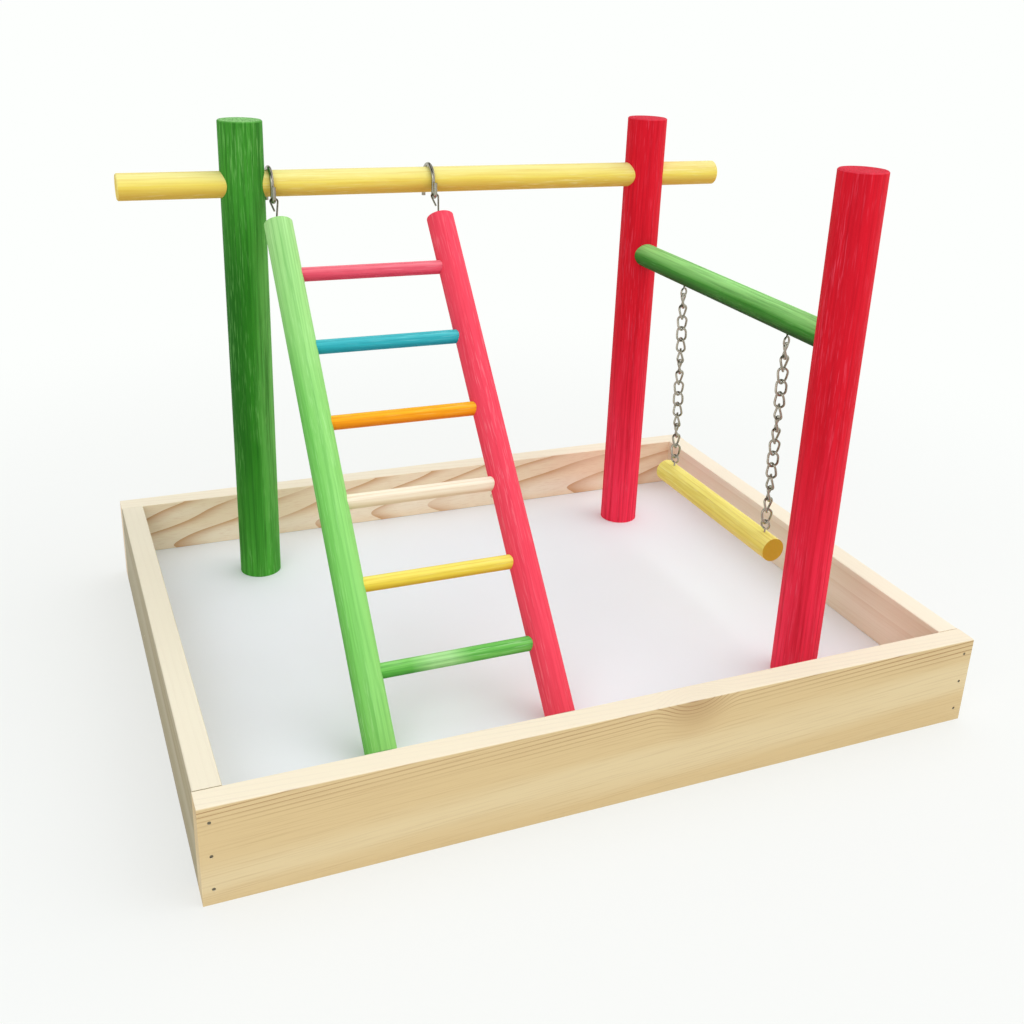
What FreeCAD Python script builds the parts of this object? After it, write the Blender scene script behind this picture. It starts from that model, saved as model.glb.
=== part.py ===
import FreeCAD, Part
import math
import os

# Parrot play stand: an open pine tray with a raised white panel, three round posts, a top
# perch, a ladder that hangs from the perch by wire hooks, and a swing on two chains.
# Millimetres. +X runs to the right along the front board, +Y to the back, +Z up.
# The origin is the middle of the tray's footprint, on the surface that the stand rests on.

Vector = FreeCAD.Vector
Rotation = FreeCAD.Rotation
half_turn = 180.0
full_turn = 360.0

# Tray boards, and the white panel in the groove round their inner faces
tray_width = 415.0
tray_depth = 328.0
board_height = 51.0
board_thickness = 13.0
board_edge_radius = 0.8
panel_top = 18.0
panel_thickness = 5.0
groove_depth = 5.0
panel_play = 0.2

# Brads: thin headless nails, driven just under the face of the wood
brad_diameter = 1.8
brad_point_length = 2.0
brad_sink = 0.3
brad_play = 0.05
brad_facets = 6
corner_brad_length = 30.0
corner_brad_from_end = 5.0
corner_brad_from_edge = 8.0
panel_brad_length = 20.0
panel_brads_from_back = (69.0, 116.0)

# Posts, and the wood screws that hold them from under the panel
post_diameter = 25.0
post_length = 280.0
side_post_setback = 78.5
back_post_setback = 59.0
front_post_setback = 51.0
end_chamfer = 0.6
screw_diameter = 3.5
screw_head_diameter = 7.0
screw_head_height = 2.2
screw_point_length = 4.0
screw_length = 32.0
screw_play = 0.05
screw_facets = 10
point_radius = 0.3

# Top perch, which passes through both back posts, and the bar that carries the swing
dowel_diameter = 15.0
dowel_play = 0.05
perch_below_post_tops = 35.5
perch_left_overhang = 68.5
perch_right_overhang = 51.5
bar_below_perch = 51.0
bar_socket_depth = 12.0
socket_end_play = 0.3

# Ladder
rail_diameter = 16.0
rail_spacing = 96.0
rail_from_green_post = 15.0
foot_from_front_board = 41.0
foot_play = 0.2
rung_diameter = 8.0
rung_colours = ("pink", "blue", "orange", "natural", "yellow", "green")
top_rung_margin = 33.0
bottom_rung_margin = 39.0
rung_socket_depth = 6.0

# Open wire hooks that hang the ladder from the perch
hook_wire = 2.4
hook_play = 0.3
hook_back_leg = 10.9
hook_front_leg = 6.6
hook_return_leg = 6.6
hook_facets = 8
hook_bend_steps = 9
hook_eye_steps = 6

# Long screw eyes in the tops of the rails
long_eye_wire = 1.1
long_eye_radius = 2.1
long_eye_neck = 4.5
long_eye_reach = 16.5
long_eye_shank = 12.0
long_eye_mouth = 3.3

# Round screw eyes under the bar and on top of the swing's perch
round_eye_wire = 1.2
round_eye_radius = 2.6
round_eye_reach = 7.3
round_eye_shank = 8.0
round_eye_mouth = 1.05

# Bends that the eyes share, and the fit of their shanks in the wood
eye_facets = 6
eye_steps = 9
eye_play = 0.05

# Swing
swing_perch_diameter = 14.0
swing_end_margin = 10.0
bar_eye_spacing = 111.0
perch_eye_spacing = 105.0
swing_from_middle = -9.7
swing_drift = -4.8

# Twisted links of the swing's chains
chain_links = 15
link_wire = 1.4
link_length = 10.15
link_width = 6.9
link_twist = 60.0
link_turn = 53.5
link_play = 0.3
link_gap = 0.15
link_facets = 6
crown_steps = 4

# Places and sizes that follow from the values above
left_face = -tray_width / 2
right_face = tray_width / 2
front_face = -tray_depth / 2
back_face = tray_depth / 2
panel_bottom = panel_top - panel_thickness
inner_half_width = right_face - board_thickness
inner_half_depth = back_face - board_thickness
left_post_x = left_face + side_post_setback
right_post_x = right_face - side_post_setback
back_post_y = back_face - back_post_setback
front_post_y = front_face + front_post_setback
post_top = panel_top + post_length
perch_z = post_top - perch_below_post_tops
bar_z = perch_z - bar_below_perch
bore_diameter = dowel_diameter + 2 * dowel_play


def rod(diameter, start, end):
    """A round rod or bore between two points."""
    return Part.makeCylinder(diameter / 2, (end - start).Length, start, end - start)


def eased(solid, point):
    """The rod with the rim of its end at point chamfered."""
    circles = [edge for edge in solid.Edges if isinstance(edge.Curve, Part.Circle)]
    rims = [edge for edge in circles if edge.Curve.Center.isEqual(point, end_chamfer)]
    return solid.makeChamfer(end_chamfer, rims)


def drilled(solid, tools):
    """The solid with every tool taken out of it."""
    return solid.cut(Part.makeCompound(tools))


def save(node, *solids):
    """Write one node: a single solid, or a group of separate solids."""
    shape = solids[0] if len(solids) == 1 else Part.makeCompound(list(solids))
    shape.exportStep(os.path.join("parts", node + ".step"))


def board(length_x, length_y, centre_x, centre_y):
    """A planed board on edge, with its two long top edges slightly rounded."""
    corner = Vector(centre_x - length_x / 2, centre_y - length_y / 2, 0)
    solid = Part.makeBox(length_x, length_y, board_height, corner)
    long_top_edges = [edge for edge in solid.Edges
                      if edge.BoundBox.ZMin > board_height / 2 and edge.Length > 2 * board_thickness]
    return solid.makeFillet(board_edge_radius, long_top_edges)


def panel_box(grow, height):
    """The floor panel's block, or with grow the groove that takes its edges."""
    half_x = inner_half_width + groove_depth - panel_play + grow
    half_y = inner_half_depth + groove_depth - panel_play + grow
    return Part.makeBox(2 * half_x, 2 * half_y, height, Vector(-half_x, -half_y, panel_bottom))


def arc_points(centre, radius, start, sweep, steps, first, second):
    """Points along an arc, by angles in degrees from first towards second."""
    points = []
    for step in range(steps + 1):
        angle = math.radians(start + sweep * step / steps)
        points.append(centre + first * (radius * math.cos(angle)) + second * (radius * math.sin(angle)))
    return points


def placed(solid, base, up, turn=0.0):
    """A copy of the solid, turned about its own Z, with its Z laid along up at base."""
    copy = solid.copy()
    copy.Placement = FreeCAD.Placement(base, Rotation(Vector(0, 0, 1), up)
                                       * Rotation(Vector(0, 0, 1), turn))
    return copy


def faceted(profile, facets):
    """A small upright piece with flats round it, from (radius, height) points."""
    rings = [Part.makePolygon(arc_points(Vector(0, 0, height), radius, 0, full_turn, facets,
                                         Vector(1, 0, 0), Vector(0, 1, 0)))
             for radius, height in profile]
    return Part.makeLoft(rings, True, True)


def brad(entry, direction, length):
    """A pointed brad, sunk a little below its entry in the wood's face."""
    radius = brad_diameter / 2
    profile = [(radius, brad_sink), (radius, length - brad_point_length), (point_radius, length)]
    return placed(faceted(profile, brad_facets), entry, direction)


def brad_hole(entry, direction, length):
    """The straight hole of a brad."""
    radius = brad_diameter / 2 + brad_play
    profile = [(radius, 0), (radius, length + brad_play)]
    return placed(faceted(profile, brad_facets), entry, direction)


def post_screw(x, y, play=0.0):
    """A countersunk wood screw that points up into a post, or with play its hole."""
    shank_radius = screw_diameter / 2 + play
    profile = [(screw_head_diameter / 2 + play, 0), (shank_radius, screw_head_height),
               (shank_radius, screw_length - screw_point_length), (point_radius + play, screw_length + play)]
    return placed(faceted(profile, screw_facets), Vector(x, y, panel_bottom), Vector(0, 0, 1))


def bent_wire(points, diameter, facets):
    """A wire with flats along it, mitred at every point of its path."""
    direction = (points[1] - points[0]).normalize()
    side = direction.cross(Vector(0, 1, 0)).normalize()
    section = arc_points(points[0], diameter / 2, 0, full_turn, facets, side, direction.cross(side))
    return Part.makePolygon(points).makePipeShell([Part.makePolygon(section)], True, False, 1)


def screw_eye(wire, shank, to_loop, loop, mouth):
    """A screw eye bent from one wire: its shank goes down from the wood's surface at
    z = 0, its loop stands above it, and its end stops short of the neck by mouth."""
    to_neck = to_loop - loop[-1]
    end = to_loop - to_neck.normalize() * mouth
    return bent_wire([Vector(0, 0, -shank), to_loop] + loop + [end], wire, eye_facets)


def raised(points, top):
    """The points moved along Z until the highest of them is at top."""
    rise = Vector(0, 0, top - max(point.z for point in points))
    return [point + rise for point in points]


def long_eye():
    """A long narrow eye, whose sides run straight from its round end to its neck."""
    neck = Vector(0, 0, long_eye_neck)
    lean = math.degrees(math.asin(long_eye_radius / (long_eye_reach - long_eye_radius - long_eye_neck)))
    loop = raised(arc_points(neck, long_eye_radius, -lean, half_turn + 2 * lean, eye_steps - 2,
                             Vector(1, 0, 0), Vector(0, 0, 1)), long_eye_reach)
    return screw_eye(long_eye_wire, long_eye_shank, neck, loop, long_eye_mouth * long_eye_wire)


def round_eye():
    """A round eye, whose ring springs from the end of its neck."""
    step = full_turn / (eye_steps + 2)
    ring = raised(arc_points(Vector(0, 0, 0), round_eye_radius, -half_turn / 2, full_turn - step, eye_steps + 1,
                             Vector(1, 0, 0), Vector(0, 0, 1)), round_eye_reach)
    return screw_eye(round_eye_wire, round_eye_shank, ring[0], ring[1:], round_eye_mouth * round_eye_wire)


def eye_hole(wire, shank, base, up, turn=0.0):
    """The hole that an eye's shank makes in the wood below base."""
    radius = wire / 2 + eye_play
    hole = faceted([(radius, -shank - socket_end_play), (radius, 0)], eye_facets)
    return placed(hole, base, up, turn)


def ladder_hook(x):
    """An S-shaped hook: over the perch, down its front, and up again into a small bend."""
    bend_radius = dowel_diameter / 2 + hook_play + hook_wire / 2
    centre = Vector(x, back_post_y, perch_z)
    eye_centre = Vector(x, ladder_hinge_y, ladder_hinge_z)
    back = Vector(0, 1, 0)
    up = Vector(0, 0, 1)
    over_perch = arc_points(centre, bend_radius, 0, half_turn, hook_bend_steps, back, up)
    round_eye_end = arc_points(eye_centre, hook_eye_radius, 0, -half_turn, hook_eye_steps, back, up)
    back_tip = over_perch[0] - up * hook_back_leg
    front_tip = round_eye_end[-1] + up * hook_return_leg
    path = [back_tip] + over_perch + round_eye_end + [front_tip]
    return bent_wire(path, hook_wire, hook_facets)


def chain_link():
    """One twisted link, upright about the origin, bent from a wire whose ends meet at
    the middle of one side. Its twist grows evenly from its lower crown to its upper."""
    crown_radius = (link_width - link_wire) / 2
    half_length = (link_length - link_wire) / 2
    up = Vector(0, 0, 1)
    upper = raised(arc_points(Vector(0, 0, 0), crown_radius, 0, half_turn, crown_steps,
                              Vector(1, 0, 0), up), half_length)
    path = upper + [Vector(-point.x, 0, -point.z) for point in upper]
    path = [Rotation(up, -link_twist / 2 * point.z / half_length).multVec(point) for point in path]
    middle = (path[0] + path[-1]) / 2
    along = (path[0] - path[-1]).normalize() * (link_gap / 2)
    return bent_wire([middle + along] + path + [middle - along], link_wire, link_facets)


def chain(top, bottom):
    """Links hung one in the next between the far wires of two eyes."""
    up = (top - bottom).normalize()
    reach = (top - bottom).Length + 2 * eye_overlap
    pitch = (reach - link_inside) / (chain_links - 1)
    first = top + up * (eye_overlap - link_inside / 2)
    return [placed(one_link, first - up * (pitch * number), up,
                   link_turn + number * (link_twist - 90)) for number in range(chain_links)]


# Swing: the perch's height follows from the chains and the eyes
eye_turn = link_turn - link_twist / 2 + 90
eye_overlap = (round_eye_wire + link_wire) / 2 + link_play
link_inside = link_length - link_wire
chain_length = (chain_links - 1) * (link_inside - link_wire - link_play) + link_inside - 2 * eye_overlap
swing_x = right_post_x
bar_eye_y = (front_post_y + back_post_y) / 2 + swing_from_middle
perch_eye_y = bar_eye_y + swing_drift
chain_lean = abs(swing_drift) + abs(bar_eye_spacing - perch_eye_spacing) / 2
chain_drop = math.sqrt(chain_length ** 2 - chain_lean ** 2)
bar_underside = bar_z - dowel_diameter / 2
swing_top = bar_underside - 2 * round_eye_reach - chain_drop
swing_perch_z = swing_top - swing_perch_diameter / 2

# Ladder: it hinges in the small bends of its hooks and leans until its feet reach the panel
hook_eye_radius = (hook_wire + long_eye_wire) / 2 + hook_play
ladder_hinge_y = back_post_y - dowel_diameter / 2 - hook_play - hook_wire / 2 - hook_eye_radius
ladder_hinge_z = perch_z - hook_front_leg
foot_run = ladder_hinge_y + inner_half_depth - foot_from_front_board
foot_fall = ladder_hinge_z - panel_top - foot_play
foot_distance = math.hypot(foot_run, foot_fall)
foot_radius = rail_diameter / 2
ladder_lean = math.atan2(foot_run, foot_fall) + math.asin(foot_radius / foot_distance)
rail_length = math.sqrt(foot_distance ** 2 - foot_radius ** 2) - long_eye_reach
down_rail = Vector(0, -math.sin(ladder_lean), -math.cos(ladder_lean))
left_rail_x = left_post_x + rail_from_green_post
right_rail_x = left_rail_x + rail_spacing

os.makedirs("parts", exist_ok=True)

# Brads: three at each end of the front and back boards, two through each side board
brad_heights = (corner_brad_from_edge, board_height / 2, board_height - corner_brad_from_edge)
brad_x = right_face - corner_brad_from_end
corner_places = [(side * brad_x, height) for side in (-1, 1) for height in brad_heights]
front_brads = [(Vector(x, front_face, z), Vector(0, 1, 0), corner_brad_length) for x, z in corner_places]
back_brads = [(Vector(x, back_face, z), Vector(0, -1, 0), corner_brad_length) for x, z in corner_places]
side_brads = [(Vector(side * right_face, back_face - setback, panel_top - panel_thickness / 2),
               Vector(-side, 0, 0), panel_brad_length)
              for side in (-1, 1) for setback in panel_brads_from_back]
save("front_board_brads", *[brad(*place) for place in front_brads])
save("back_board_brads", *[brad(*place) for place in back_brads])
save("side_board_brads", *[brad(*place) for place in side_brads])
brad_holes = [brad_hole(*place) for place in front_brads + back_brads + side_brads]

# Tray: the front and back boards run the full width and the side boards stand between them
groove = panel_box(panel_play, panel_thickness + panel_play)
board_y = inner_half_depth + board_thickness / 2
board_x = inner_half_width + board_thickness / 2
tray_tools = brad_holes + [groove]
save("tray_front_board", drilled(board(tray_width, board_thickness, 0, -board_y), tray_tools))
save("tray_back_board", drilled(board(tray_width, board_thickness, 0, board_y), tray_tools))
save("tray_left_board", drilled(board(board_thickness, 2 * inner_half_depth, -board_x, 0), tray_tools))
save("tray_right_board", drilled(board(board_thickness, 2 * inner_half_depth, board_x, 0), tray_tools))

# Posts stand on the panel, each on its own screw
post_places = ((left_post_x, back_post_y), (right_post_x, back_post_y), (right_post_x, front_post_y))
save("post_screws", *[post_screw(x, y) for x, y in post_places])
screw_holes = [post_screw(x, y, screw_play) for x, y in post_places]
save("tray_floor_panel", drilled(panel_box(0, panel_thickness), brad_holes + screw_holes))

# Perch and bar, with their bores
perch_start = Vector(left_post_x - perch_left_overhang, back_post_y, perch_z)
perch_end = Vector(right_post_x + perch_right_overhang, back_post_y, perch_z)
save("top_perch", eased(eased(rod(dowel_diameter, perch_start, perch_end), perch_start), perch_end))
perch_bore = rod(bore_diameter, perch_start, perch_end)
socket_front = Vector(right_post_x, front_post_y + post_diameter / 2 - bar_socket_depth, bar_z)
socket_back = Vector(right_post_x, back_post_y - post_diameter / 2 + bar_socket_depth, bar_z)
bar_bore = rod(bore_diameter, socket_front, socket_back)
end_play = Vector(0, socket_end_play, 0)
post_nodes = ("green_post", "red_back_post", "red_front_post")
for node, (x, y) in zip(post_nodes, post_places):
    top = Vector(x, y, post_top)
    post = eased(rod(post_diameter, Vector(x, y, panel_top), top), top)
    save(node, drilled(post, screw_holes + [perch_bore, bar_bore]))

# Swing
up = Vector(0, 0, 1)
one_round_eye = round_eye()
one_link = chain_link()
bar_eyes = []
perch_eyes = []
bar_eye_holes = []
perch_eye_holes = []
for name, side in (("front", -1), ("back", 1)):
    bar_base = Vector(swing_x, bar_eye_y + side * bar_eye_spacing / 2, bar_underside)
    perch_base = Vector(swing_x, perch_eye_y + side * perch_eye_spacing / 2, swing_top)
    bar_eyes.append(placed(one_round_eye, bar_base, -up, -eye_turn))
    perch_eyes.append(placed(one_round_eye, perch_base, up, eye_turn))
    bar_eye_holes.append(eye_hole(round_eye_wire, round_eye_shank, bar_base, -up, -eye_turn))
    perch_eye_holes.append(eye_hole(round_eye_wire, round_eye_shank, perch_base, up, eye_turn))
    links = chain(bar_base - up * round_eye_reach, perch_base + up * round_eye_reach)
    save("swing_chain_" + name, *links)
bar = rod(dowel_diameter, socket_front + end_play, socket_back - end_play)
half_perch = perch_eye_spacing / 2 + swing_end_margin
swing_perch = rod(swing_perch_diameter, Vector(swing_x, perch_eye_y - half_perch, swing_perch_z),
                  Vector(swing_x, perch_eye_y + half_perch, swing_perch_z))
save("swing_bar", drilled(bar, bar_eye_holes))
save("swing_bar_eyes", *bar_eyes)
save("swing_perch", drilled(swing_perch, perch_eye_holes))
save("swing_perch_eyes", *perch_eyes)

# Ladder: rungs in blind sockets of the rails, and a long eye in the top of each rail
rung_pitch = (rail_length - top_rung_margin - bottom_rung_margin) / (len(rung_colours) - 1)
rung_reach = rail_diameter / 2 - rung_socket_depth
rung_sockets = []
for number, colour in enumerate(rung_colours):
    along = long_eye_reach + top_rung_margin + number * rung_pitch
    left_axis = Vector(left_rail_x, ladder_hinge_y, ladder_hinge_z) + down_rail * along
    socket_left = left_axis + Vector(rung_reach, 0, 0)
    socket_right = left_axis + Vector(rail_spacing - rung_reach, 0, 0)
    play = Vector(socket_end_play, 0, 0)
    save("ladder_rung_" + colour, rod(rung_diameter, socket_left + play, socket_right - play))
    rung_sockets.append(rod(rung_diameter + 2 * dowel_play, socket_left, socket_right))
one_long_eye = long_eye()
long_eyes = []
for colour, x in (("green", left_rail_x), ("red", right_rail_x)):
    rail_top = Vector(x, ladder_hinge_y, ladder_hinge_z) + down_rail * long_eye_reach
    rail = rod(rail_diameter, rail_top, rail_top + down_rail * rail_length)
    long_eyes.append(placed(one_long_eye, rail_top, -down_rail))
    hole = eye_hole(long_eye_wire, long_eye_shank, rail_top, -down_rail)
    save("ladder_" + colour + "_rail", drilled(rail, rung_sockets + [hole]))
save("ladder_eyes", *long_eyes)
save("ladder_hooks", ladder_hook(left_rail_x), ladder_hook(right_rail_x))
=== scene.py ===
import math

import bpy
from mathutils import Matrix, Vector


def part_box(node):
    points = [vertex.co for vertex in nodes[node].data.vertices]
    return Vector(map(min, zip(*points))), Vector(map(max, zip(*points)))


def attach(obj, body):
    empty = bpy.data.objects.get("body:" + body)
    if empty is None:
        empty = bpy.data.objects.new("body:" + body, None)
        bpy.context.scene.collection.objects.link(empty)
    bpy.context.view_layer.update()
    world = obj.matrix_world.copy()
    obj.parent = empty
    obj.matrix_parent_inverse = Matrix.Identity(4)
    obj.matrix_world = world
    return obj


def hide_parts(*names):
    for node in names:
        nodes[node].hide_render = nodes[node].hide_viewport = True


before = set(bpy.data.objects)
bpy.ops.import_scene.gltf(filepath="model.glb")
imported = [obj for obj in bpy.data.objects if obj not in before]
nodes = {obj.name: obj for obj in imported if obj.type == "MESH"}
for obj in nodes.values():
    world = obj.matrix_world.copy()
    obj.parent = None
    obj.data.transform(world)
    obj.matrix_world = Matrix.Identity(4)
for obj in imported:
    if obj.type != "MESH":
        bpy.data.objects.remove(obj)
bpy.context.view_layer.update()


# ---- Camera ----
# It stands a little left of the tray's front and looks down at it, as the photograph does.
mm = 0.001


def in_scene(name, data):
    """An object that holds the mesh, lamp, curve or camera, in the scene."""
    item = bpy.data.objects.new(name, data)
    bpy.context.scene.collection.objects.link(item)
    return item


bpy.context.scene.view_settings.view_transform = "Standard"
camera_data = bpy.data.cameras.new("camera")
camera_data.sensor_width = 36.0
camera_data.lens = 41.41
camera_data.shift_x = -0.0131
camera_data.shift_y = -0.0632
camera = in_scene("camera", camera_data)
camera_yaw, camera_pitch, camera_roll = 23.7842, -21.5545, 2.4192
camera.matrix_world = (Matrix.Translation((-248.35 * mm, -579.62 * mm, 375.63 * mm))
                       @ Matrix.Rotation(-math.radians(camera_yaw), 4, "Z")
                       @ Matrix.Rotation(math.radians(90 + camera_pitch), 4, "X")
                       @ Matrix.Rotation(math.radians(camera_roll), 4, "Z"))
bpy.context.scene.camera = camera


# ---- Studio ----
# A plain white table top that takes the stand's soft shadow, in a white room that is brighter
# towards a window at the right. A broad lamp stands at the window, a weaker one over the
# stand's back, and one fills in from the left of the camera.
def colour(code):
    """An sRGB hex value as linear red, green, blue and alpha."""
    channels = [int(code[start:start + 2], 16) / 255 for start in (1, 3, 5)]
    return [c / 12.92 if c <= 0.04045 else ((c + 0.055) / 1.055) ** 2.4 for c in channels] + [1.0]


def add(tree, kind, settings, sockets, output=0):
    """Adds a node with its settings and gives one of its outputs. Each socket takes a value,
    or a link from another node's output."""
    node = tree.nodes.new(kind)
    for name, value in settings.items():
        setattr(node, name, value)
    for key, value in sockets.items():
        if isinstance(value, bpy.types.NodeSocket):
            tree.links.new(value, node.inputs[key])
        else:
            node.inputs[key].default_value = value
    return node.outputs[output] if node.outputs else None


def blank_material(name):
    """A material with an empty node tree, and that tree."""
    material = bpy.data.materials.new(name)
    material.use_nodes = True
    material.node_tree.nodes.clear()
    return material, material.node_tree


def looked_at(tree):
    """1 where the camera looks, also in a mirror or through glass, and 0 for all other light."""
    seen = 0.0
    for ray in ("Is Camera Ray", "Is Glossy Ray", "Is Transmission Ray"):
        seen = add(tree, "ShaderNodeMath", {"operation": "MAXIMUM"},
                   {0: seen, 1: add(tree, "ShaderNodeLightPath", {}, {}, ray)})
    return seen


# Painted table top: matt, so it shows only the shadow and a faint mottle. Where it is looked
# at, it fades into the white backdrop
backdrop_white = "#fdfffd"
table_half = 3.0
table_mesh = bpy.data.meshes.new("table_top")
table_mesh.from_pydata([(x * table_half, y * table_half, 0) for x, y in ((-1, -1), (1, -1), (1, 1), (-1, 1))],
                       [], [(0, 1, 2, 3)])
table_top = in_scene("table_top", table_mesh)
table_paint, tree = blank_material("matt_white_table_paint")
mottle = add(tree, "ShaderNodeTexNoise", {}, {"Scale": 1 / (167 * mm), "Detail": 2.0}, "Fac")
tint = add(tree, "ShaderNodeMix", {"data_type": "RGBA"},
           {0: mottle, 6: colour("#e4e6e4"), 7: colour("#eaebea")}, 2)
matt = add(tree, "ShaderNodeBsdfDiffuse", {}, {"Color": tint})
glow = add(tree, "ShaderNodeEmission", {}, {"Color": colour(backdrop_white), "Strength": 1.0})
place = add(tree, "ShaderNodeTexCoord", {}, {}, "Object")
away = add(tree, "ShaderNodeVectorMath", {"operation": "LENGTH"}, {0: place}, "Value")
fade = add(tree, "ShaderNodeMapRange", {"interpolation_type": "SMOOTHSTEP"},
           {"Value": away, "From Min": 0.3, "From Max": 0.75, "To Min": 0.6, "To Max": 1.0})
glowing = add(tree, "ShaderNodeMath", {"operation": "MULTIPLY"}, {0: looked_at(tree), 1: fade})
shader = add(tree, "ShaderNodeMixShader", {}, {0: glowing, 1: matt, 2: glow})
add(tree, "ShaderNodeOutputMaterial", {}, {"Surface": shader})
table_mesh.materials.append(table_paint)

world = bpy.data.worlds.new("white_room")
world.use_nodes = True
tree = world.node_tree
tree.nodes.clear()
direction = add(tree, "ShaderNodeTexCoord", {}, {}, "Generated")
# The walls brighten evenly towards the window, and the window's pane is brighter still
strength = 0.0
for aim, edge, begins, full, least, most in (((0.75, -0.35, 0.4), "LINEAR", -0.7, 0.9, 0.54, 0.93),
                                             ((0.93, 0.1, 0.3), "SMOOTHSTEP", 0.55, 0.95, 0.0, 0.5)):
    towards = add(tree, "ShaderNodeVectorMath", {"operation": "DOT_PRODUCT"},
                  {0: direction, 1: Vector(aim).normalized()}, "Value")
    brightness = add(tree, "ShaderNodeMapRange", {"interpolation_type": edge},
                     {"Value": towards, "From Min": begins, "From Max": full, "To Min": least, "To Max": most})
    strength = add(tree, "ShaderNodeMath", {"operation": "ADD"}, {0: strength, 1: brightness})
# The backdrop is white to above any view of the stand. The ceiling over it is dark, which
# bright metal mirrors as dark edges
steepness = add(tree, "ShaderNodeSeparateXYZ", {}, {0: direction}, "Z")
ceiling = add(tree, "ShaderNodeMapRange", {"interpolation_type": "SMOOTHSTEP"},
              {"Value": steepness, "From Min": 0.45, "From Max": 0.6, "To Min": 1.0, "To Max": 0.04})
room = add(tree, "ShaderNodeBackground", {}, {"Color": colour("#ffffff"), "Strength": strength})
backdrop = add(tree, "ShaderNodeBackground", {}, {"Color": colour(backdrop_white), "Strength": ceiling})
shader = add(tree, "ShaderNodeMixShader", {}, {0: looked_at(tree), 1: room, 2: backdrop})
add(tree, "ShaderNodeOutputWorld", {}, {"Surface": shader})
bpy.context.scene.world = world

lamp_target = Vector((0, 0, 0.1))
for name, place, width, power in (("window_lamp", (1.6, -0.8, 2.0), 2.2, 12.4),
                                  ("back_lamp", (0.3, 0.5, 1.9), 1.4, 3.6),
                                  ("fill_lamp", (-1.15, -1.05, 1.1), 1.2, 5.6)):
    lamp_data = bpy.data.lights.new(name, "AREA")
    lamp_data.shape = "DISK"
    lamp_data.size = width
    lamp_data.energy = power
    lamp = in_scene(name, lamp_data)
    lamp.location = place
    lamp.rotation_euler = (lamp_target - Vector(place)).to_track_quat("-Z", "Y").to_euler()


def grain_coordinates(tree, place, along, pith):
    """Coordinates in metres with Z along the grain and the tree's middle at the origin."""
    along = Vector(along).normalized()
    side = along.orthogonal().normalized()
    offset = add(tree, "ShaderNodeVectorMath", {"operation": "SUBTRACT"}, {0: place, 1: pith})
    parts = [add(tree, "ShaderNodeVectorMath", {"operation": "DOT_PRODUCT"}, {0: offset, 1: axis}, "Value")
             for axis in (side, along.cross(side), along)]
    return add(tree, "ShaderNodeCombineXYZ", {}, dict(enumerate(parts)))


def marks(tree, grain, width, length, detail=2.0):
    """Soft marks along the grain, from 0 to 1, of about the given width and length."""
    scaled = add(tree, "ShaderNodeVectorMath", {"operation": "MULTIPLY"},
                 {0: grain, 1: (1 / width, 1 / width, 1 / length)})
    return add(tree, "ShaderNodeTexNoise", {},
               {"Vector": scaled, "Scale": 1.0, "Detail": detail, "Roughness": 0.55}, "Fac")


def growth_rings(tree, grain, width, wander, waviness):
    """Year rings round the grain's axis, each rising from 0 at its pale side to 1 at its
    dark side. wander bends them, and waviness sets how often they bend."""
    # Rings bend little along the grain. The pattern turns 20 radians in a metre at scale 1
    drawn_out, radians_per_metre = 0.07, 20
    scaled = add(tree, "ShaderNodeVectorMath", {"operation": "MULTIPLY"}, {0: grain, 1: (1.0, 1.0, drawn_out)})
    return add(tree, "ShaderNodeTexWave", {"wave_type": "RINGS", "rings_direction": "Z", "wave_profile": "SAW"},
               {"Vector": scaled, "Scale": math.tau / (radians_per_metre * width), "Distortion": wander,
                "Detail": 1.5, "Detail Scale": waviness, "Detail Roughness": 0.45}, "Fac")


def share(tree, *parts):
    """The product of its parts. Each is an amount, a pattern, or a pattern with the value
    where it begins to count and the value where it counts in full."""
    product = None
    for part in parts:
        if isinstance(part, tuple):
            pattern, begins, full = part
            part = add(tree, "ShaderNodeMapRange", {}, {"Value": pattern, "From Min": begins, "From Max": full})
        product = part if product is None else add(tree, "ShaderNodeMath", {"operation": "MULTIPLY"},
                                                   {0: product, 1: part})
    return product


def laid_over(tree, base, *layers):
    """The base colour with tones laid over it in turn. A layer has its tone, then the parts
    of the share that it takes."""
    for tone, *parts in layers:
        base = add(tree, "ShaderNodeMix", {"data_type": "RGBA"},
                   {0: share(tree, *parts), 6: base, 7: colour(tone) if isinstance(tone, str) else tone}, 2)
    return base


def finished(tree, tint, rough, relief, depth, shine):
    """The surface shader, with a roughness that follows a pattern between two values, and a
    relief of the given depth."""
    pattern, least, most = rough
    roughness = add(tree, "ShaderNodeMapRange", {}, {"Value": pattern, "To Min": least, "To Max": most})
    bump = add(tree, "ShaderNodeBump", {}, {"Strength": 0.6, "Distance": depth, "Height": relief})
    shader = add(tree, "ShaderNodeBsdfPrincipled", {}, {"Base Color": tint, "Roughness": roughness,
                                                        "Normal": bump, "Specular IOR Level": shine})
    add(tree, "ShaderNodeOutputMaterial", {}, {"Surface": shader})


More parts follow.
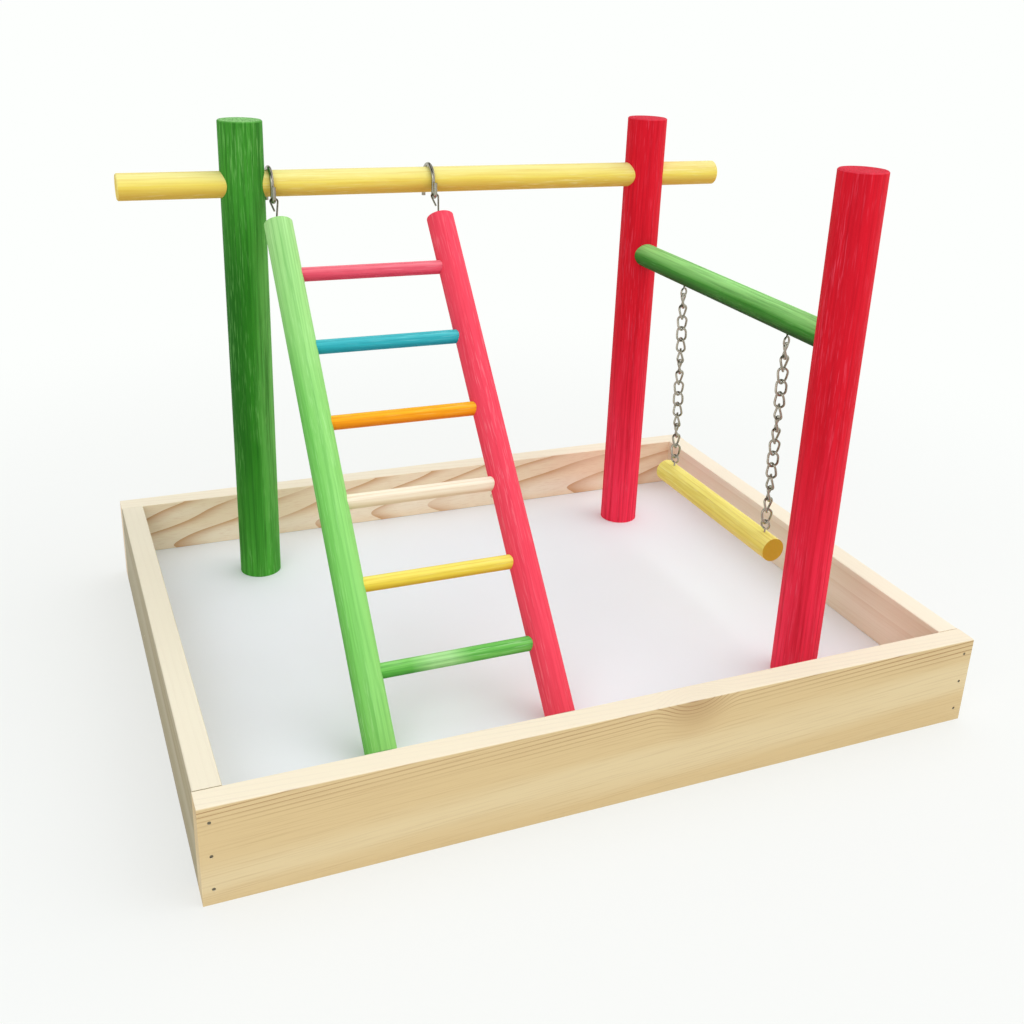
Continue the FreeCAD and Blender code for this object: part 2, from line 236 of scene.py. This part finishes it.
def planed_pine(name, along, pith, ring, wander, waviness, line_begins, line_sharpness, line_strength, tones,
                line_heights=(-30 * mm, -20 * mm), knot=None, pale_band=None):
    """Planed bare pine. The eye gets broad soft bands, fine fibres and late-wood lines, which
    fade in between the two line_heights. The lines swirl round a knot, given by its middle,
    reach and rise. A pale band has its height, slope and half width; without one the pale
    sapwood lies in soft clouds."""
    sapwood, band, late_wood = tones
    material, tree = blank_material(name)
    place = add(tree, "ShaderNodeTexCoord", {}, {}, "Object")
    height = add(tree, "ShaderNodeSeparateXYZ", {}, {0: place}, "Z")
    if knot:
        middle, reach, rise = knot
        apart = add(tree, "ShaderNodeVectorMath", {"operation": "DISTANCE"}, {0: place, 1: middle}, "Value")
        swirl = add(tree, "ShaderNodeMapRange", {"interpolation_type": "SMOOTHERSTEP"},
                    {"Value": apart, "From Min": 0.0, "From Max": reach, "To Min": 1.0, "To Max": 0.0})
        lift = add(tree, "ShaderNodeVectorMath", {"operation": "SCALE"}, {0: (0, 0, rise), "Scale": swirl})
        place = add(tree, "ShaderNodeVectorMath", {"operation": "ADD"}, {0: place, 1: lift})
    grain = grain_coordinates(tree, place, along, pith)
    rings = growth_rings(tree, grain, ring, wander, waviness)
    line = add(tree, "ShaderNodeMath", {"operation": "POWER"},
               {0: share(tree, (rings, line_begins, 0.97)), 1: line_sharpness})
    # The edges of the lines' zone and of the pale band wander over this height in all
    raggedness = 16 * mm
    ragged = add(tree, "ShaderNodeMath", {"operation": "MULTIPLY_ADD"},
                 {0: marks(tree, grain, 16.7 * mm, 200 * mm, 1.0), 1: raggedness, 2: height})
    lowest, highest = (level + raggedness / 2 for level in line_heights)
    line = share(tree, line, (ragged, lowest, highest),
                 (marks(tree, grain, 20 * mm, 100 * mm, 1.0), 0.28, 0.55), line_strength)
    fibres = marks(tree, grain, 0.667 * mm, 40 * mm, 3.0)
    clouds = marks(tree, grain, 20.8 * mm, 625 * mm, 1.0)
    if pale_band:
        level, slope, half_width = pale_band
        run = add(tree, "ShaderNodeSeparateXYZ", {}, {0: grain}, "Z")
        climb = add(tree, "ShaderNodeMath", {"operation": "MULTIPLY_ADD"}, {0: run, 1: -slope, 2: ragged})
        above = add(tree, "ShaderNodeMath", {"operation": "SUBTRACT"}, {0: climb, 1: level + raggedness / 2})
        off_band = add(tree, "ShaderNodeMath", {"operation": "ABSOLUTE"}, {0: above})
        soft = add(tree, "ShaderNodeMath", {"operation": "MULTIPLY_ADD"}, {0: clouds, 1: 0.5, 2: 0.5})
        banded = share(tree, (off_band, 0.25 * half_width, half_width), soft)
    else:
        banded = share(tree, (clouds, 0.4, 0.6))
    face = laid_over(tree, colour(sapwood), (band, banded))
    if knot:
        face = laid_over(tree, face, (late_wood, swirl, 0.35))
    # Faces that look upwards are painted paler: painted light on the board tops
    upward = add(tree, "ShaderNodeSeparateXYZ", {}, {0: add(tree, "ShaderNodeTexCoord", {}, {}, "Normal")}, "Z")
    painted_top_light = "#f6eed8"
    face = laid_over(tree, face, (late_wood, line), (late_wood, (fibres, 0.5, 0.8), 0.25),
                     (painted_top_light, (upward, 0.3, 0.9), 0.85))
    relief = add(tree, "ShaderNodeMath", {"operation": "SUBTRACT"}, {0: fibres, 1: line})
    finished(tree, face, (fibres, 0.5, 0.7), relief, 0.12 * mm, 0.25)
    return material


def dress(node, material):
    """The CAD node keeps its shape and takes the material in every slot."""
    slots = nodes[node].material_slots
    for slot in slots:
        slot.material = material
    if not slots:
        nodes[node].data.materials.append(material)


# The front board's lines close up under its top edge, round the lower half of a knot
dress("tray_front_board", planed_pine(
    "planed_pine_front", along=(1, 0, 0.045), pith=(0, -120 * mm, -6 * mm), ring=1.9 * mm, wander=5.0,
    waviness=0.12, line_begins=0.66, line_sharpness=1.3, line_strength=0.9, line_heights=(37 * mm, 47 * mm),
    tones=("#e4d0a4", "#dabf8c", "#98683a"), knot=((33 * mm, -164 * mm, 50 * mm), 28 * mm, 9 * mm),
    pale_band=(20 * mm, 0.035, 13 * mm)))
# The back board is cut flat and at a slant to its rings, so they show as long wavy arches
dress("tray_back_board", planed_pine(
    "planed_pine_back", along=(1, -0.1, 0.02), pith=(0, 219 * mm, 18 * mm), ring=4.6 * mm, wander=13.0,
    waviness=0.4, line_begins=0.5, line_sharpness=1.5, line_strength=0.75,
    tones=("#f8ead2", "#f4e0c0", "#c48c54")))
# The side boards have fainter lines. The left one is greyer, as painted shade, and the right one paler, as painted
# light
dress("tray_left_board", planed_pine(
    "planed_pine_left", along=(0, 1, 0.02), pith=(-150 * mm, 0, 20 * mm), ring=3.0 * mm, wander=5.0,
    waviness=0.15, line_begins=0.5, line_sharpness=1.5, line_strength=0.5,
    tones=("#b8ae90", "#aca07c", "#886c46")))
dress("tray_right_board", planed_pine(
    "planed_pine_right", along=(0, 1, -0.015), pith=(250 * mm, 0, 24 * mm), ring=2.6 * mm, wander=6.0,
    waviness=0.15, line_begins=0.5, line_sharpness=1.5, line_strength=0.3,
    tones=("#f2e6d0", "#ebddc4", "#ceae86")))


# ---- Floor panel ----
# A thin board with a smooth white face, let into a groove round the tray. Its face is hard
# and slightly glossy, and has only a faint unevenness.
white_face, tree = blank_material("white_faced_hardboard")
place = add(tree, "ShaderNodeTexCoord", {}, {}, "Object")
clouds = add(tree, "ShaderNodeTexNoise", {}, {"Vector": place, "Scale": 1 / (71.4 * mm), "Detail": 2.0}, "Fac")
peel = add(tree, "ShaderNodeTexNoise", {}, {"Vector": place, "Scale": 1 / (2.38 * mm), "Detail": 2.0}, "Fac")
face = laid_over(tree, colour("#eef3f8"), ("#f2f7fc", clouds))
finished(tree, face, (clouds, 0.5, 0.65), peel, 0.03 * mm, 0.2)
dress("tray_floor_panel", white_face)


# ---- Brads and post screws ----
# Wire brads sunk just under the wood, and countersunk screws under the posts. Both are
# zinc-plated steel, dull grey with a slight yellow cast.
zinc, tree = blank_material("zinc_plated_steel")
place = add(tree, "ShaderNodeTexCoord", {}, {}, "Object")
spangle = add(tree, "ShaderNodeTexNoise", {}, {"Vector": place, "Scale": 1 / (1.11 * mm), "Detail": 3.0}, "Fac")
shader = add(tree, "ShaderNodeBsdfPrincipled", {}, {
    "Base Color": laid_over(tree, colour("#5c5648"), ("#8c8674", spangle)), "Metallic": 1.0,
    "Roughness": add(tree, "ShaderNodeMapRange", {}, {"Value": spangle, "To Min": 0.35, "To Max": 0.6})})
add(tree, "ShaderNodeOutputMaterial", {}, {"Surface": shader})
for node in ("front_board_brads", "back_board_brads", "side_board_brads", "post_screws"):
    dress(node, zinc)


# ---- Posts ----
# Turned softwood dowels, soaked in a water dye before assembly. The dye sinks into the soft
# wood and stays thin on the hard lines, so the colour runs in fine streaks down the post.
def dyed_dowel(name, along, pith, tones, ring=2.5 * mm, line_share=0.3, streak_share=0.6, fleck_share=0.45,
               end_tone=None, painted_light=None, thinned=()):
    """A dyed dowel. The eye gets lengthwise streaks, year rings, pale flecks where the dye is
    thin, a worn pale rim round its chamfers and end grain. painted_light gives the side
    that faces the light, and the tones of that side and of the side away from it: painted
    light and shade. thinned gives places along the grain where the dye begins and ends to
    turn into another tone, and that tone."""
    dye, deep, thin = tones
    material, tree = blank_material(name)
    normal = add(tree, "ShaderNodeTexCoord", {}, {}, "Normal")
    grain = grain_coordinates(tree, add(tree, "ShaderNodeTexCoord", {}, {}, "Object"), along, pith)
    rings = growth_rings(tree, grain, ring, 4.0, 0.25)
    streaks = marks(tree, grain, 1.43 * mm, 55.6 * mm, 3.0)
    flecks = marks(tree, grain, 0.769 * mm, 13.3 * mm)
    clouds = marks(tree, grain, 11.1 * mm, 83.3 * mm)
    line = share(tree, (rings, 0.5, 0.98), line_share)
    face = colour(dye)
    # Painted light and shade: the side facing the given direction takes the lit tone, the side away from it the
    # shaded tone, with cloudy edges
    if painted_light:
        side, lit_tone, shaded_tone = painted_light
        facing_light = add(tree, "ShaderNodeVectorMath", {"operation": "DOT_PRODUCT"},
                     {0: normal, 1: Vector(side).normalized()}, "Value")
        lit_amount = add(tree, "ShaderNodeMath", {"operation": "MULTIPLY_ADD"}, {0: clouds, 1: 0.5, 2: facing_light})
        face = laid_over(tree, face, (lit_tone, (lit_amount, 0.35, 1.1)), (shaded_tone, (lit_amount, 0.4, -0.35)))
    for begin, end, tone in thinned:
        run = add(tree, "ShaderNodeSeparateXYZ", {}, {0: grain}, "Z")
        raggedness = (end - begin) * 0.5
        ragged = add(tree, "ShaderNodeMath", {"operation": "MULTIPLY_ADD"}, {0: clouds, 1: raggedness, 2: run})
        face = laid_over(tree, face, (tone, (ragged, begin + raggedness / 2, end + raggedness / 2)))
    face = laid_over(tree, face, (deep, (streaks, 0.45, 0.72), streak_share), (deep, line),
                     (thin, (flecks, 0.54, 0.7), (clouds, 0.34, 0.66), fleck_share))
    # Chamfers are worn through the dye, and end grain soaks it up
    endwise = add(tree, "ShaderNodeVectorMath", {"operation": "DOT_PRODUCT"},
                  {0: normal, 1: Vector(along).normalized()}, "Value")
    endwise = add(tree, "ShaderNodeMath", {"operation": "ABSOLUTE"}, {0: endwise})
    pores = add(tree, "ShaderNodeTexNoise", {}, {"Vector": grain, "Scale": 1 / (0.667 * mm), "Detail": 2.0}, "Fac")
    sawn = laid_over(tree, colour(end_tone or dye), (deep, (pores, 0.4, 0.65)), (deep, line))
    face = laid_over(tree, face, (thin, (endwise, 0.3, 0.6), (clouds, 0.2, 0.5), 0.25),
                     (sawn, (endwise, 0.86, 0.96)))
    relief = add(tree, "ShaderNodeMath", {"operation": "SUBTRACT"}, {0: flecks, 1: line})
    finished(tree, face, (streaks, 0.55, 0.75), relief, 0.15 * mm, 0.12)
    return material


upright = (0, 0, 1)
# The green post's right side is painted paler and its left side darker: painted light and shade
dress("green_post", dyed_dowel(
    "green_dyed_dowel", upright, (-150 * mm, 130 * mm, 0), ("#338820", "#1e6014", "#84cc6c"), streak_share=0.7,
    fleck_share=0.6, end_tone="#a8f090", painted_light=((1, -0.2, 0), "#74c45c", "#236c15"),
    thinned=((110 * mm, 20 * mm, "#4ca636"), (210 * mm, 270 * mm, "#42962e"))))
for place, pith in (("back", (150 * mm, 128 * mm, 0)), ("front", (152 * mm, -90 * mm, 0))):
    dress("red_" + place + "_post", dyed_dowel(
        "red_dyed_dowel_" + place, upright, pith, ("#e0142a", "#bc0c20", "#f86078"), end_tone="#f41440",
        thinned=((170 * mm, 40 * mm, "#fc3454"),)))


# ---- Top perch ----
# A yellow dyed dowel that passes through both back posts. The pale wood shines through the
# yellow, so it shows little grain.
# Its top is painted paler and its underside darker: painted light and shade
dress("top_perch", dyed_dowel(
    "yellow_dyed_dowel", (1, 0, 0), (0, 118 * mm, 250 * mm), ("#f6e268", "#dcb040", "#fffac0"), ring=2.2 * mm,
    line_share=0.2, streak_share=0.4, painted_light=(upright, "#f2ea98", "#d8b04c")))


# ---- Swing bar ----
# A green dyed dowel, glued into blind holes of the two red posts. Its top is painted
# # paler and its underside darker in cloudy patches: painted light and shade.
dress("swing_bar", dyed_dowel(
    "green_dyed_bar", (0, 1, 0), (140 * mm, 0, 200 * mm), ("#4e9c38", "#2a7020", "#a4dc90"), line_share=0.4,
    streak_share=0.5, painted_light=(upright, "#a4e88a", "#1c4410")))


# ---- Ladder rails ----
# Two leaning dowels, one light green and one red, with the rungs glued into blind holes.
# The green one grows paler towards its top.
rail_lean = math.radians(42.09)
rail_axis = (0, -math.sin(rail_lean), -math.cos(rail_lean))
# The green rail's side towards the window lamp is painted paler and its other side darker: painted light and shade
dress("ladder_green_rail", dyed_dowel(
    "light_green_dyed_rail", rail_axis, (-128 * mm, 20 * mm, 140 * mm), ("#84d868", "#48a03a", "#bcf4a8"),
    ring=3.4 * mm, line_share=0.22, streak_share=0.35, painted_light=((0.6, -0.55, 0.5), "#94dc78", "#6cbc54"),
    thinned=((0, -140 * mm, "#b4e69a"),)))
dress("ladder_red_rail", dyed_dowel(
    "red_dyed_rail", rail_axis, (-4 * mm, 20 * mm, 140 * mm), ("#f84c62", "#d8283e", "#ff98a4"),
    ring=3.6 * mm, line_share=0.2, streak_share=0.4))


# ---- Rungs ----
# Six thin dowels between the rails. Each has its own dye, and one is bare wood. The green
# one took its dye unevenly and is pale in places.
# Each rung's second pair of tones is painted light on its top and painted shade on its underside
rungs = {"pink": (("#ee5a70", "#cc3450", "#ffa8b4"), ("#f67e8c", "#d8445c")),
         "blue": (("#34b4c0", "#1c8ea0", "#8ee8ec"), ("#4cc0c8", "#1e90a4")),
         "orange": (("#fca418", "#e0740c", "#ffd878"), ("#fdbc28", "#e8800e")),
         "natural": (("#f6e8d0", "#dcc09a", "#fff8ea"), ("#fcf2dc", "#e8cfae")),
         "yellow": (("#f6dc50", "#dcb430", "#fff6a4"), ("#f9ea70", "#e0ac30")),
         "green": (("#6cc454", "#2f8a30", "#c8f0b8"), ("#88d46c", "#4c9c3c"))}
pale_places = {"green": ((-92 * mm, -80 * mm, "#b0e89a"), (-70 * mm, -58 * mm, "#74c85c"))}
for name, (tones, painted_light_tones) in rungs.items():
    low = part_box("ladder_rung_" + name)[0]
    dress("ladder_rung_" + name, dyed_dowel(
        "dyed_rung_" + name, (1, 0, 0), (0, low.y - 9 * mm, low.z - 6 * mm), tones, streak_share=0.5,
        painted_light=(upright, *painted_light_tones), thinned=pale_places.get(name, ())))


# ---- Ladder hooks ----
# Two S-shaped hooks of thick wire. A wide bend sits over the perch, and a small bend below
# it holds the rail's eye. The steel is nickel-plated: bright, with a warm grey tone.
nickel, tree = blank_material("nickel_plated_steel_wire")
place = add(tree, "ShaderNodeTexCoord", {}, {}, "Object")
draw_marks = add(tree, "ShaderNodeTexNoise", {},
                 {"Vector": place, "Scale": 1 / (0.714 * mm), "Detail": 3.0}, "Fac")
tarnish = add(tree, "ShaderNodeTexNoise", {}, {"Vector": place, "Scale": 1 / (5.56 * mm), "Detail": 2.0}, "Fac")
shader = add(tree, "ShaderNodeBsdfPrincipled", {}, {
    "Base Color": laid_over(tree, colour("#8e8a7a"), ("#bcb8aa", tarnish)), "Metallic": 1.0,
    "Roughness": add(tree, "ShaderNodeMapRange", {}, {"Value": draw_marks, "To Min": 0.16, "To Max": 0.34}),
    "Normal": add(tree, "ShaderNodeBump", {}, {"Strength": 0.3, "Distance": 0.02 * mm, "Height": draw_marks})})
add(tree, "ShaderNodeOutputMaterial", {}, {"Surface": shader})


def arc(centre, radius, start, sweep, first, second, steps=24):
    """Points along an arc, by angles in degrees from first towards second."""
    turns = [math.radians(start + sweep * step / steps) for step in range(steps + 1)]
    return [centre + first * (radius * math.cos(turn)) + second * (radius * math.sin(turn)) for turn in turns]


def round_wire(paths, diameter):
    """A mesh of round wires, one along each path of points, with closed ends."""
    shape = bpy.data.curves.new("wire_path", "CURVE")
    shape.dimensions = "3D"
    shape.bevel_depth = diameter / 2
    shape.bevel_resolution = 4
    shape.use_fill_caps = True
    for points in paths:
        spline = shape.splines.new("POLY")
        spline.points.add(len(points) - 1)
        for control, point in zip(spline.points, points):
            control.co = (*point, 1.0)
    holder = in_scene("wire_path", shape)
    mesh = bpy.data.meshes.new_from_object(holder.evaluated_get(bpy.context.evaluated_depsgraph_get()))
    bpy.data.objects.remove(holder)
    bpy.data.curves.remove(shape)
    mesh.polygons.foreach_set("use_smooth", [True] * len(mesh.polygons))
    return mesh


def metal_piece(name, body, paths, diameter, *replaced):
    """A wire piece that rides the body in place of its CAD nodes."""
    piece = in_scene(name, round_wire(paths, diameter))
    piece.data.materials.append(nickel)
    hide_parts(*replaced)
    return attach(piece, body)


# Each hook runs up behind the perch, over it and down its front, round the small bend and a
# little way up again
right, back, up = Vector((1, 0, 0)), Vector((0, 1, 0)), Vector((0, 0, 1))
hook_wire = 2.4 * mm
perch_y, perch_z, perch_radius = 105 * mm, 262.5 * mm, 7.5 * mm
hook_play = 0.3 * mm
hook_bend = perch_radius + hook_play + hook_wire / 2
hook_eye = 2.05 * mm
back_leg, front_tip = 10.9 * mm, 6.6 * mm
rail_x = (-114 * mm, -18 * mm)
hinge_y, hinge_z = 93.95 * mm, 255.9 * mm
hook_paths = []
for x in rail_x:
    over_perch = arc(Vector((x, perch_y, perch_z)), hook_bend, 0, 180, back, up, 32)
    small_bend = arc(Vector((x, hinge_y, hinge_z)), hook_eye, 0, -180, back, up)
    hook_paths.append([over_perch[0] - up * back_leg] + over_perch + small_bend
                      + [small_bend[-1] + up * front_tip])
metal_piece("hook_wires", "ladder_hooks", hook_paths, hook_wire, "ladder_hooks")


# ---- Ladder eyes ----
# A long narrow screw eye in the top end of each rail, of thinner wire, not quite closed. Two
# straight legs run from its neck to the round end that hangs in the hook.
def eye_wire(to_loop, loop, shank, mouth, base, direction, turn):
    """The path of a screw eye: up its shank, round its loop and back to its mouth."""
    end = to_loop - (to_loop - loop[-1]).normalized() * mouth
    matrix = (Matrix.Translation(base) @ up.rotation_difference(direction).to_matrix().to_4x4()
              @ Matrix.Rotation(math.radians(turn), 4, "Z"))
    return [matrix @ point for point in [-up * shank, to_loop] + loop + [end]]


long_eye_wire = 1.1 * mm
long_eye_shank, long_eye_mouth = 12 * mm, 3.3 * long_eye_wire
long_eye_reach, long_eye_radius, long_eye_neck = 16.5 * mm, 2.1 * mm, 4.5 * mm
leg_lean = math.degrees(math.asin(long_eye_radius / (long_eye_reach - long_eye_radius - long_eye_neck)))
long_loop = arc(up * (long_eye_reach - long_eye_radius), long_eye_radius, -leg_lean, 180 + 2 * leg_lean, right, up)
rail_down = Vector(rail_axis)
long_paths = [eye_wire(up * long_eye_neck, long_loop, long_eye_shank, long_eye_mouth,
                       Vector((x, hinge_y, hinge_z)) + rail_down * long_eye_reach, -rail_down, 0)
              for x in rail_x]
metal_piece("rail_eye_wires", "ladder", long_paths, long_eye_wire, "ladder_eyes")


# ---- Swing eyes ----
# Small round screw eyes, two under the bar and two on the swing's perch. They are turned so
# that their rings stand across the chains' end links.
swing_x = 129 * mm
bar_underside, swing_top = 204 * mm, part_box("swing_perch")[1].z
bar_eye_y, perch_eye_y = (-69.2 * mm, 41.8 * mm), (-71.0 * mm, 34.0 * mm)
eye_turn = 113.5
round_eye_wire, round_eye_radius, round_eye_reach = 1.2 * mm, 2.6 * mm, 7.3 * mm
round_eye_shank, round_eye_mouth, round_eye_sweep = 8 * mm, 1.05 * round_eye_wire, 327
ring = arc(up * (round_eye_reach - round_eye_radius), round_eye_radius, -90, round_eye_sweep, right, up, 30)
for name, node, body, level, side, places, turn in (
        ("bar_eye_wires", "swing_bar_eyes", "stand", bar_underside, -up, bar_eye_y, -eye_turn),
        ("swing_eye_wires", "swing_perch_eyes", "swing_perch", swing_top, up, perch_eye_y, eye_turn)):
    ring_paths = [eye_wire(ring[0], ring[1:], round_eye_shank, round_eye_mouth,
                           Vector((swing_x, y, level)), side, turn) for y in places]
    metal_piece(name, body, ring_paths, round_eye_wire, node)


# ---- Swing chains ----
# Fifteen twisted links on each side, bent from thin wire, each with its ends butted at the
# middle of one side. The twist lets each end cross its neighbour's at a right angle, though
# a link is turned only 30 degrees from the one above it.
link_wire, link_length, link_width, link_twist, link_play = 1.4 * mm, 10.15 * mm, 6.9 * mm, 60.0, 0.3 * mm
link_count = 15
link_turn = link_twist - 90
first_turn = eye_turn + link_twist / 2 - 90
crown = (link_width - link_wire) / 2
half_link = (link_length - link_wire) / 2
side_steps = 8
upper = arc(up * (half_link - crown), crown, 0, 180, right, up, 20)
half_loop = upper + [Vector((-crown, 0, (half_link - crown) * (1 - 2 * step / side_steps)))
                     for step in range(1, side_steps)]
loop = [Matrix.Rotation(-math.radians(link_twist / 2) * p.z / half_link, 3, "Z") @ p
        for p in half_loop + [Vector((-p.x, 0, -p.z)) for p in half_loop]]
butt, half_gap = len(loop) - side_steps // 2, 0.05 * mm
link_path = ([loop[butt] + up * half_gap] + loop[butt + 1:] + loop[:butt] + [loop[butt] - up * half_gap])
overlap = (round_eye_wire + link_wire) / 2 + link_play
link_inside = link_length - link_wire
for name, top_y, bottom_y in zip(("front", "back"), bar_eye_y, perch_eye_y):
    top = Vector((swing_x, top_y, bar_underside - round_eye_reach))
    bottom = Vector((swing_x, bottom_y, swing_top + round_eye_reach))
    direction = (top - bottom).normalized()
    pitch = ((top - bottom).length + 2 * overlap - link_inside) / (link_count - 1)
    first = top + direction * (overlap - link_inside / 2)
    link_paths = []
    for number in range(link_count):
        matrix = (Matrix.Translation(first - direction * pitch * number)
                  @ up.rotation_difference(direction).to_matrix().to_4x4()
                  @ Matrix.Rotation(math.radians(first_turn + number * link_turn), 4, "Z"))
        link_paths.append([matrix @ point for point in link_path])
    metal_piece("chain_links_" + name, "swing_chains", link_paths, link_wire, "swing_chain_" + name)


# ---- Swing perch ----
# A yellow dyed dowel, hung from its two eyes. Its sawn ends took more of the dye.
# Its top is painted paler and its underside darker: painted light and shade
dress("swing_perch", dyed_dowel(
    "yellow_dyed_swing_perch", (0, 1, 0), (118 * mm, 0, 70 * mm), ("#f0dc6c", "#c8ac3c", "#fff8b8"),
    ring=2.2 * mm, line_share=0.25, streak_share=0.5, end_tone="#c8ac30",
    painted_light=(upright, "#fcf084", "#eccf74")))
